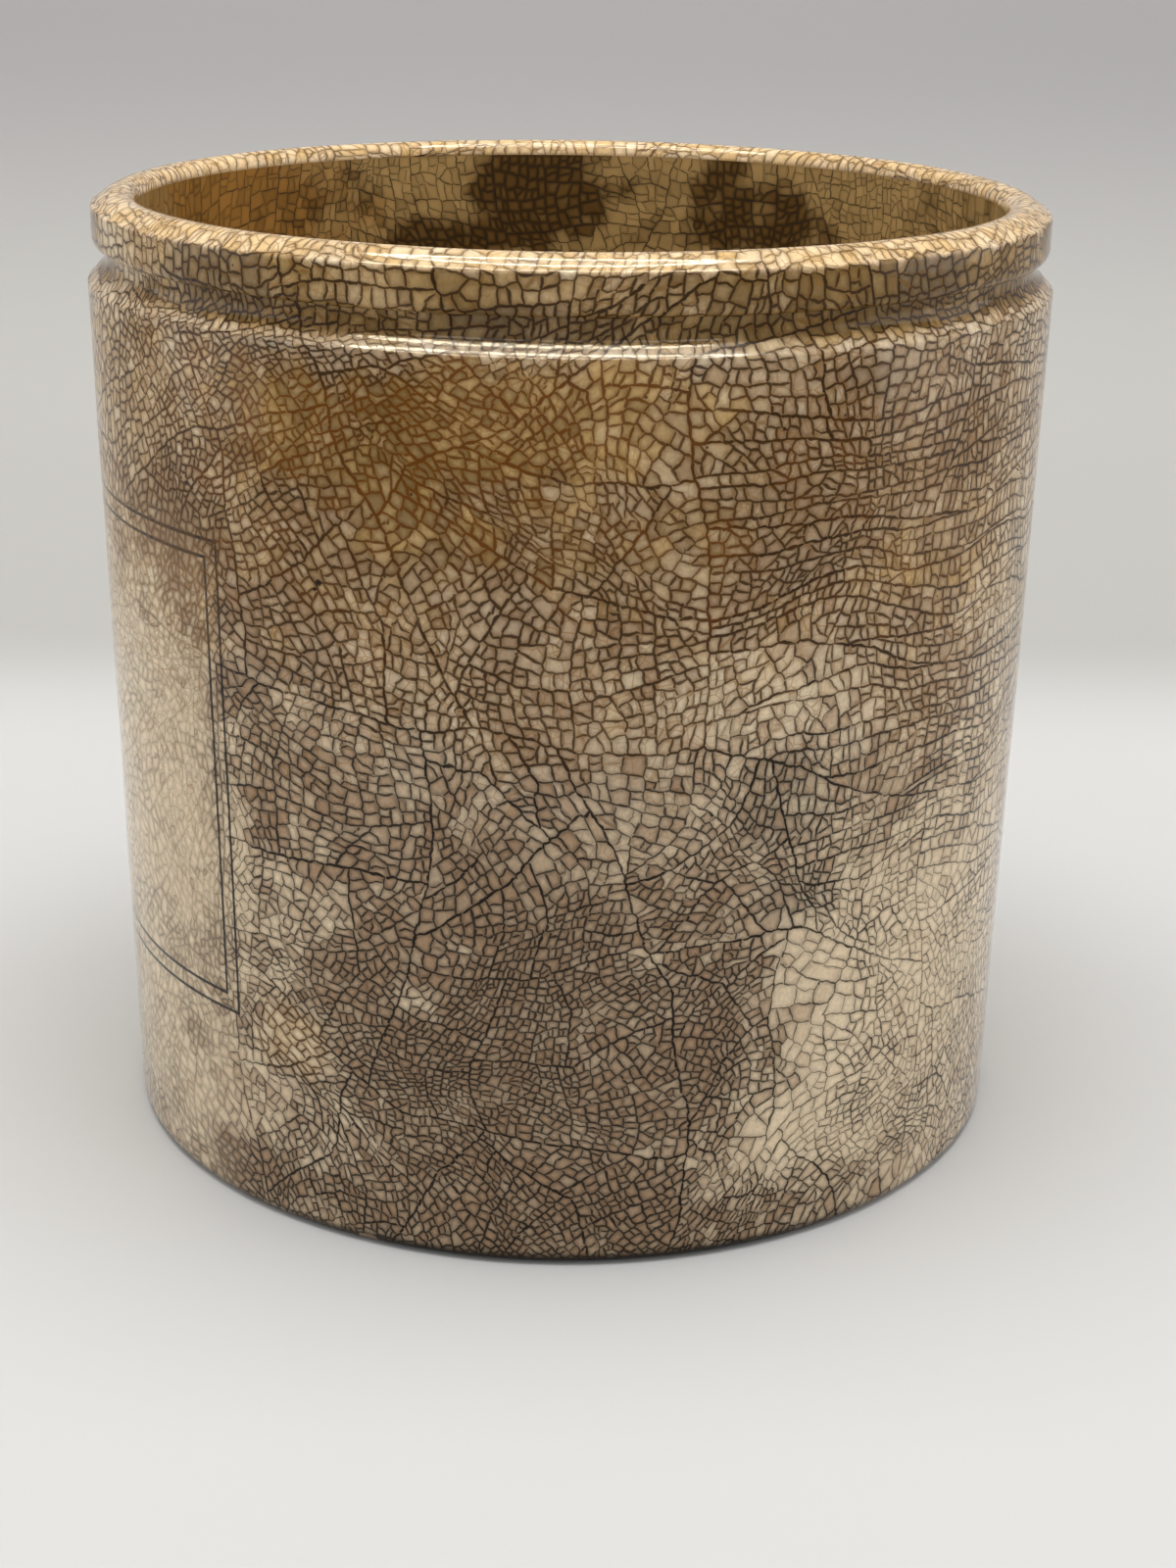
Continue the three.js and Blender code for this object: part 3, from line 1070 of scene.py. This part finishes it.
# Painted shadow: darker towards the bottom of the foot, most on the side towards the camera, in the darkest
# crack colour.
foot_shadow_front = rise(abs(turn - math.radians(78.0)), 0.85, 0.4)
glaze = blend(rise(level, 1.9, 0.7) * (0.35 + 0.65 * foot_shadow_front), glaze, CRACK_AND_SHADOW_UMBER)
SPECKS = {
    "pin_hole": (48.5, 70.3, 0.42),
    "pin_hole_tail": (48.0, 69.6, 0.25),
    "upper_left": (29.4, 77.3, 0.32),
    "upper_left_second": (30.4, 77.0, 0.26),
    "upper_left_third": (28.5, 77.7, 0.2),
}
unrolled = place.node("ShaderNodeCombineXYZ", {}, {0: turn * WALL_RADIUS, 1: level, 2: 0.0})
for angle, speck_height, size in SPECKS.values():
    speck = (math.radians(angle) * WALL_RADIUS, speck_height, 0.0)
    away = place.vector("DISTANCE", unrolled, speck, out="Value")
    glaze = blend(rise(away, size, size * 0.6) * 0.9, glaze, rgb(18, 18, 16))
pits = place.node("ShaderNodeTexVoronoi", {}, {"Vector": place, "Scale": 1.0 / (4.2 * MM)})
pit_luck = place.node("ShaderNodeSeparateColor", {}, {0: Wire(pits.socket.node.outputs["Color"])})
glaze = blend(rise(pits + 0.1 * rise(pit_luck, 0.75, 0.95), 0.045, 0.028) * 0.8, glaze, CRACK_AND_SHADOW_UMBER)
CHIP = (math.radians(52.3) * WALL_RADIUS, 0.5, 0.0)
CHIP_HALF_WIDTH = 1.1
CHIP_HALF_HEIGHT = 0.75
stretch = (1.0 / CHIP_HALF_WIDTH, 1.0 / CHIP_HALF_HEIGHT, 0.0)
from_chip = place.vector("MULTIPLY", place.vector("SUBTRACT", unrolled, CHIP), stretch)
from_chip = place.vector("LENGTH", from_chip, out="Value")
chip = rise(from_chip + (mottle(place, 0.6, 2.0) - 0.5) * 0.8, 1.1, 0.9)
glaze = blend(chip, glaze, rgb(122, 104, 84))
glaze.feed(shader, "Base Color")
(0.03 + 0.12 * line + 0.04 * cloud + 0.5 * chip).feed(shader, "Roughness")
chip_hollow = place.node("ShaderNodeBump", {}, {"Strength": 0.9, "Distance": 0.0004, "Height": 1 - chip})
chip_hollow.feed(shader, "Normal")
shader.inputs["Specular IOR Level"].default_value = 0.17

outer_glaze.data.materials.append(outer_finish)
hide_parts("outer_glaze")
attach(outer_glaze, "root")


# Inner glaze. The same clear glaze, poured in and swilled round so that it lines the wall and floor.
# It crazed in larger cells, and what was kept in the jar has soaked in and browned whole groups of them.
INSIDE_DARK = {
    "back_middle": (262, 96, 9, 8, 0.95),
    "back_right": (226, 93, 9, 4, 0.8),
    "back_right_top": (232, 98, 4, 4, 0.7),
    "low_left": (278, 89.5, 10, 3, 0.8),
    "left_top": (297, 96, 8, 4, 0.35),
}
for number in range(8):
    INSIDE_DARK[f"far_{number}"] = unseen_stain((0, 360), (10, 70), (8, 22), (6, 16), (0.4, 0.9))
INSIDE_AMBER = {"left": (313, 95, 20, 12, 1.0), "right": (190, 84, 14, 8, 0.4)}


def inner_stains(angle, height, points):
    """Stains of the inside: named ones on the wall, and soft patches over wall and floor."""
    ragged = ragged_edge(points, ((12.0, 0.5), (4.0, 0.4), (1.8, 0.2)))
    wall = np.clip((height - INSIDE_FLOOR) / FLOOR_FILLET, 0.0, 1.0)
    dark = spread(INSIDE_DARK, angle, height, ragged) * wall
    amber = spread(INSIDE_AMBER, angle, height, ragged)
    patches = ragged_edge(points + 70.0, ((10.0, 0.3), (3.5, 0.3)))
    patches += (1.0 - wall) * ragged_edge(points + 20.0, ((24.0, 0.7),))
    return np.stack([np.clip(0.3 + 0.8 * dark + patches, 0, 1), amber, dark * 0.0], axis=1)


inner_net = Crazing(inside_outline(), 24.0, 23)
inner_net.craze(lambda u, v: 2.4 if v < 26.0 else 6.0)
inner_net.relax(lambda u, v: 0.2)
inner_glaze = crazed_coat(
    "inner_glaze_coat", inner_net, SWAY, inner_stains, wobble=((17.0, 0.1),), dome=0.016, tilt=0.005, seed=6
)

inner_finish, shader, place = finish("inner_glaze")
tone, warmth, _ = parts(place, attribute(place, "tone", "Vector"))
tea, rust, _ = stains_at(place, 0.35)
cloud = mottle(place, 2.6, 4.0)
tea = rise(tea + (tone - 0.5) * 0.22 + (cloud - 0.5) * 0.4, 0.2, 1.0)
depth = attribute(place, "gap") * attribute(place, "even")
halo = rise(depth, 0.5, 0.02)
line, hair = crack_lines(place, 0.03, 0.07, 0.03 * tea)
glaze = blend(rust * 0.8, rgb(176, 144, 92), rgb(150, 102, 40))
glaze = blend(tea, glaze, rgb(100, 73, 37))
glaze = lit(glaze, 0.88 + 0.24 * warmth)
glaze = blend(halo * (0.12 + 0.45 * tea), glaze, CRACK_AND_SHADOW_UMBER)
glaze = blend(line * 0.85, glaze, rgb(38, 25, 9))
glaze = blend(hair * 0.4, glaze, CRACK_RUST)
glaze.feed(shader, "Base Color")
worn_floor = rise(parts(place, place)[2] * (1 / MM), INSIDE_FLOOR + FLOOR_FILLET, INSIDE_FLOOR + 1.0)
(0.12 + 0.3 * line + 0.28 * worn_floor).feed(shader, "Roughness")
shader.inputs["Specular IOR Level"].default_value = 0.2
inner_glaze.data.materials.append(inner_finish)
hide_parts("inner_glaze")
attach(inner_glaze, "root")


# Base glaze. A thin coat over the recessed panel under the jar, wiped away from the ring before firing.
# It is crazed like the rest, but it was hidden from the light and the kitchen, so it is cleaner.
def base_stains(angle, height, points):
    """Faint patches of tea and rust."""
    patches = ragged_edge(points + 11.0, ((14.0, 0.5), (4.0, 0.3)))
    return np.stack([np.clip(0.3 + patches, 0, 1), np.clip(patches - 0.1, 0, 1), patches * 0.0], axis=1)


base_net = Crazing(base_outline(), 24.0, 31)
base_net.craze(lambda u, v: 6.0)
base_net.relax(lambda u, v: 0.2)
base_glaze = crazed_coat(
    "base_glaze_coat", base_net, SWAY, base_stains, wobble=((17.0, 0.06),), dome=0.04, tilt=0.012, seed=7
)

base_finish, shader, place = finish("base_glaze")
tone = parts(place, attribute(place, "tone", "Vector"))[0]
tea = parts(place, attribute(place, "cell_stain", "Vector"))[0]
tea = tea + (mottle(place, 4.0, 3.0) - 0.5) * 0.3
line, _ = crack_lines(place, 0.04, 0.09, 0.03 * rise(tea, 0.2, 0.9))
glaze = blend(rise(tea, 0.0, 1.2) * 0.8, CREAM, TEA_BROWN)
glaze = lit(glaze, 0.92 + 0.16 * tone)
glaze = blend(line * 0.75, glaze, CRACK_AND_SHADOW_UMBER)
glaze.feed(shader, "Base Color")
shader.inputs["Roughness"].default_value = 0.15
base_glaze.data.materials.append(base_finish)
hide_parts("base_glaze")
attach(base_glaze, "root")


# Table and backdrop. A pale sheet for the jar to stand on, swept up behind it in one curve and painted
# greyer as it rises: painted shade. It is not part of the jar.
CAMERA_ANGLE = math.radians(76.0)
CAMERA_TURN = Matrix.Rotation(CAMERA_ANGLE, 4, "Z")
SWEEP_START = 0.09
SWEEP_RADIUS = 0.3
SWEEP_STEPS = 24
SHEET_REACH = 3.0
sheet_line = [(-SHEET_REACH, 0.0)]
for step in range(SWEEP_STEPS + 1):
    lift = math.radians(90.0 * step / SWEEP_STEPS)
    sheet_line.append((SWEEP_START + SWEEP_RADIUS * math.sin(lift), SWEEP_RADIUS * (1 - math.cos(lift))))
sheet_line.append((SWEEP_START + SWEEP_RADIUS, SHEET_REACH))
sheet_points = [CAMERA_TURN @ Vector((x, y, z)) for y, z in sheet_line for x in (-SHEET_REACH, SHEET_REACH)]
sheet_faces = [(2 * i, 2 * i + 1, 2 * i + 3, 2 * i + 2) for i in range(len(sheet_line) - 1)]
sheet_mesh = bpy.data.meshes.new("pale_sheet")
sheet_mesh.from_pydata(sheet_points, [], sheet_faces)
sheet_mesh.shade_smooth()
sheet_finish, shader, place = finish("pale_sheet")
height = parts(place, place)[2]
# Painted shade: the sheet turns greyer as it rises behind the jar, and greyer again higher up.
pale = blend(rise(height, 0.0, 0.007), rgb(196, 196, 195), rgb(167, 166, 163))
blend(rise(height, 0.03, 0.1), pale, rgb(136, 135, 137)).feed(shader, "Base Color")
shader.inputs["Roughness"].default_value = 0.8
sheet_mesh.materials.append(sheet_finish)
sheet = set_out("pale_sheet", sheet_mesh)


# Light. Even pale light from all round, a soft panel overhead, and weaker ones in front and at the sides.
# A long oval ring of lamps above the jar, seen only in gloss, draws bright lines along lip and shoulder.
world = bpy.data.worlds.new("room")
world.use_nodes = True
background = world.node_tree.nodes["Background"]
background.inputs["Color"].default_value = (1.0, 1.0, 1.0, 1.0)
background.inputs["Strength"].default_value = 0.6
bpy.context.scene.world = world


def panel_lamp(name, width, depth, power, stand):
    """A flat lamp that shines down its own -Z, stood where a matrix in the camera's frame puts it."""
    lamp = bpy.data.lights.new(name, "AREA")
    lamp.shape = "RECTANGLE"
    lamp.size, lamp.size_y, lamp.energy = width, depth, power
    holder = set_out(name, lamp)
    holder.matrix_world = CAMERA_TURN @ stand
    return holder


def aimed(bearing, elevation, distance):
    """A stand at a bearing from the camera's side, in degrees, that faces the middle of the jar."""
    a, e = math.radians(bearing), math.radians(elevation)
    away = Vector((math.sin(a) * math.cos(e), -math.cos(a) * math.cos(e), math.sin(e)))
    middle = Vector((0.0, 0.0, 0.06))
    return Matrix.Translation(middle + away * distance) @ away.to_track_quat("Z", "Y").to_matrix().to_4x4()


RING_LAMPS = 16
RING_POWER = 16.0
RING_COLOUR = (1.0, 0.89, 0.66)
RING_MIDDLE = Vector((-0.045, 0.01, 0.76))
RING_ACROSS = 0.285
RING_ALONG = 0.16
for number in range(RING_LAMPS):
    a = 2 * math.pi * (number + 0.5) / RING_LAMPS
    spot = RING_MIDDLE + Vector((RING_ACROSS * math.cos(a), RING_ALONG * math.sin(a), 0.0))
    heading = math.atan2(RING_ALONG * math.cos(a), -RING_ACROSS * math.sin(a))
    stand = Matrix.Translation(spot) @ Matrix.Rotation(heading, 4, "Z")
    holder = panel_lamp(f"ring_lamp_{number}", 0.11, 0.06, RING_POWER / RING_LAMPS, stand)
    holder.data.color = RING_COLOUR
    holder.visible_diffuse = False
panel_lamp("overhead", 0.7, 0.5, 6.0, aimed(0.0, 86.0, 0.8))
panel_lamp("front_fill", 1.4, 1.0, 1.05, aimed(0.0, 20.0, 1.2))
panel_lamp("left_fill", 0.9, 0.7, 2.3, aimed(-100.0, 16.0, 0.8))
panel_lamp("right_fill", 0.9, 0.7, 2.7, aimed(100.0, 16.0, 0.8))


# Camera. Where the photograph was taken from: a little above the jar's mouth, close, and held slightly askew.
CAMERA_AWAY = 276.17
CAMERA_HEIGHT = 134.46
CAMERA_YAW = 0.0094
CAMERA_PITCH = 0.3482
CAMERA_ROLL = 0.0149
FOCAL_PIXELS = 2600.0
PICTURE_HEIGHT = 1600.0
camera = bpy.data.cameras.new("camera")
camera.sensor_width = 36.0
camera.lens = camera.sensor_width * FOCAL_PIXELS / PICTURE_HEIGHT
camera.clip_start = 0.01
watcher = set_out("camera", camera)
stand = CAMERA_TURN @ Matrix.Translation((0.0, -CAMERA_AWAY * MM, CAMERA_HEIGHT * MM))
look = Matrix.Rotation(-CAMERA_YAW, 4, "Z") @ Matrix.Rotation(math.pi / 2 - CAMERA_PITCH, 4, "X")
watcher.matrix_world = stand @ look @ Matrix.Rotation(CAMERA_ROLL, 4, "Z")
bpy.context.scene.camera = watcher
bpy.context.scene.view_settings.view_transform = "Standard"
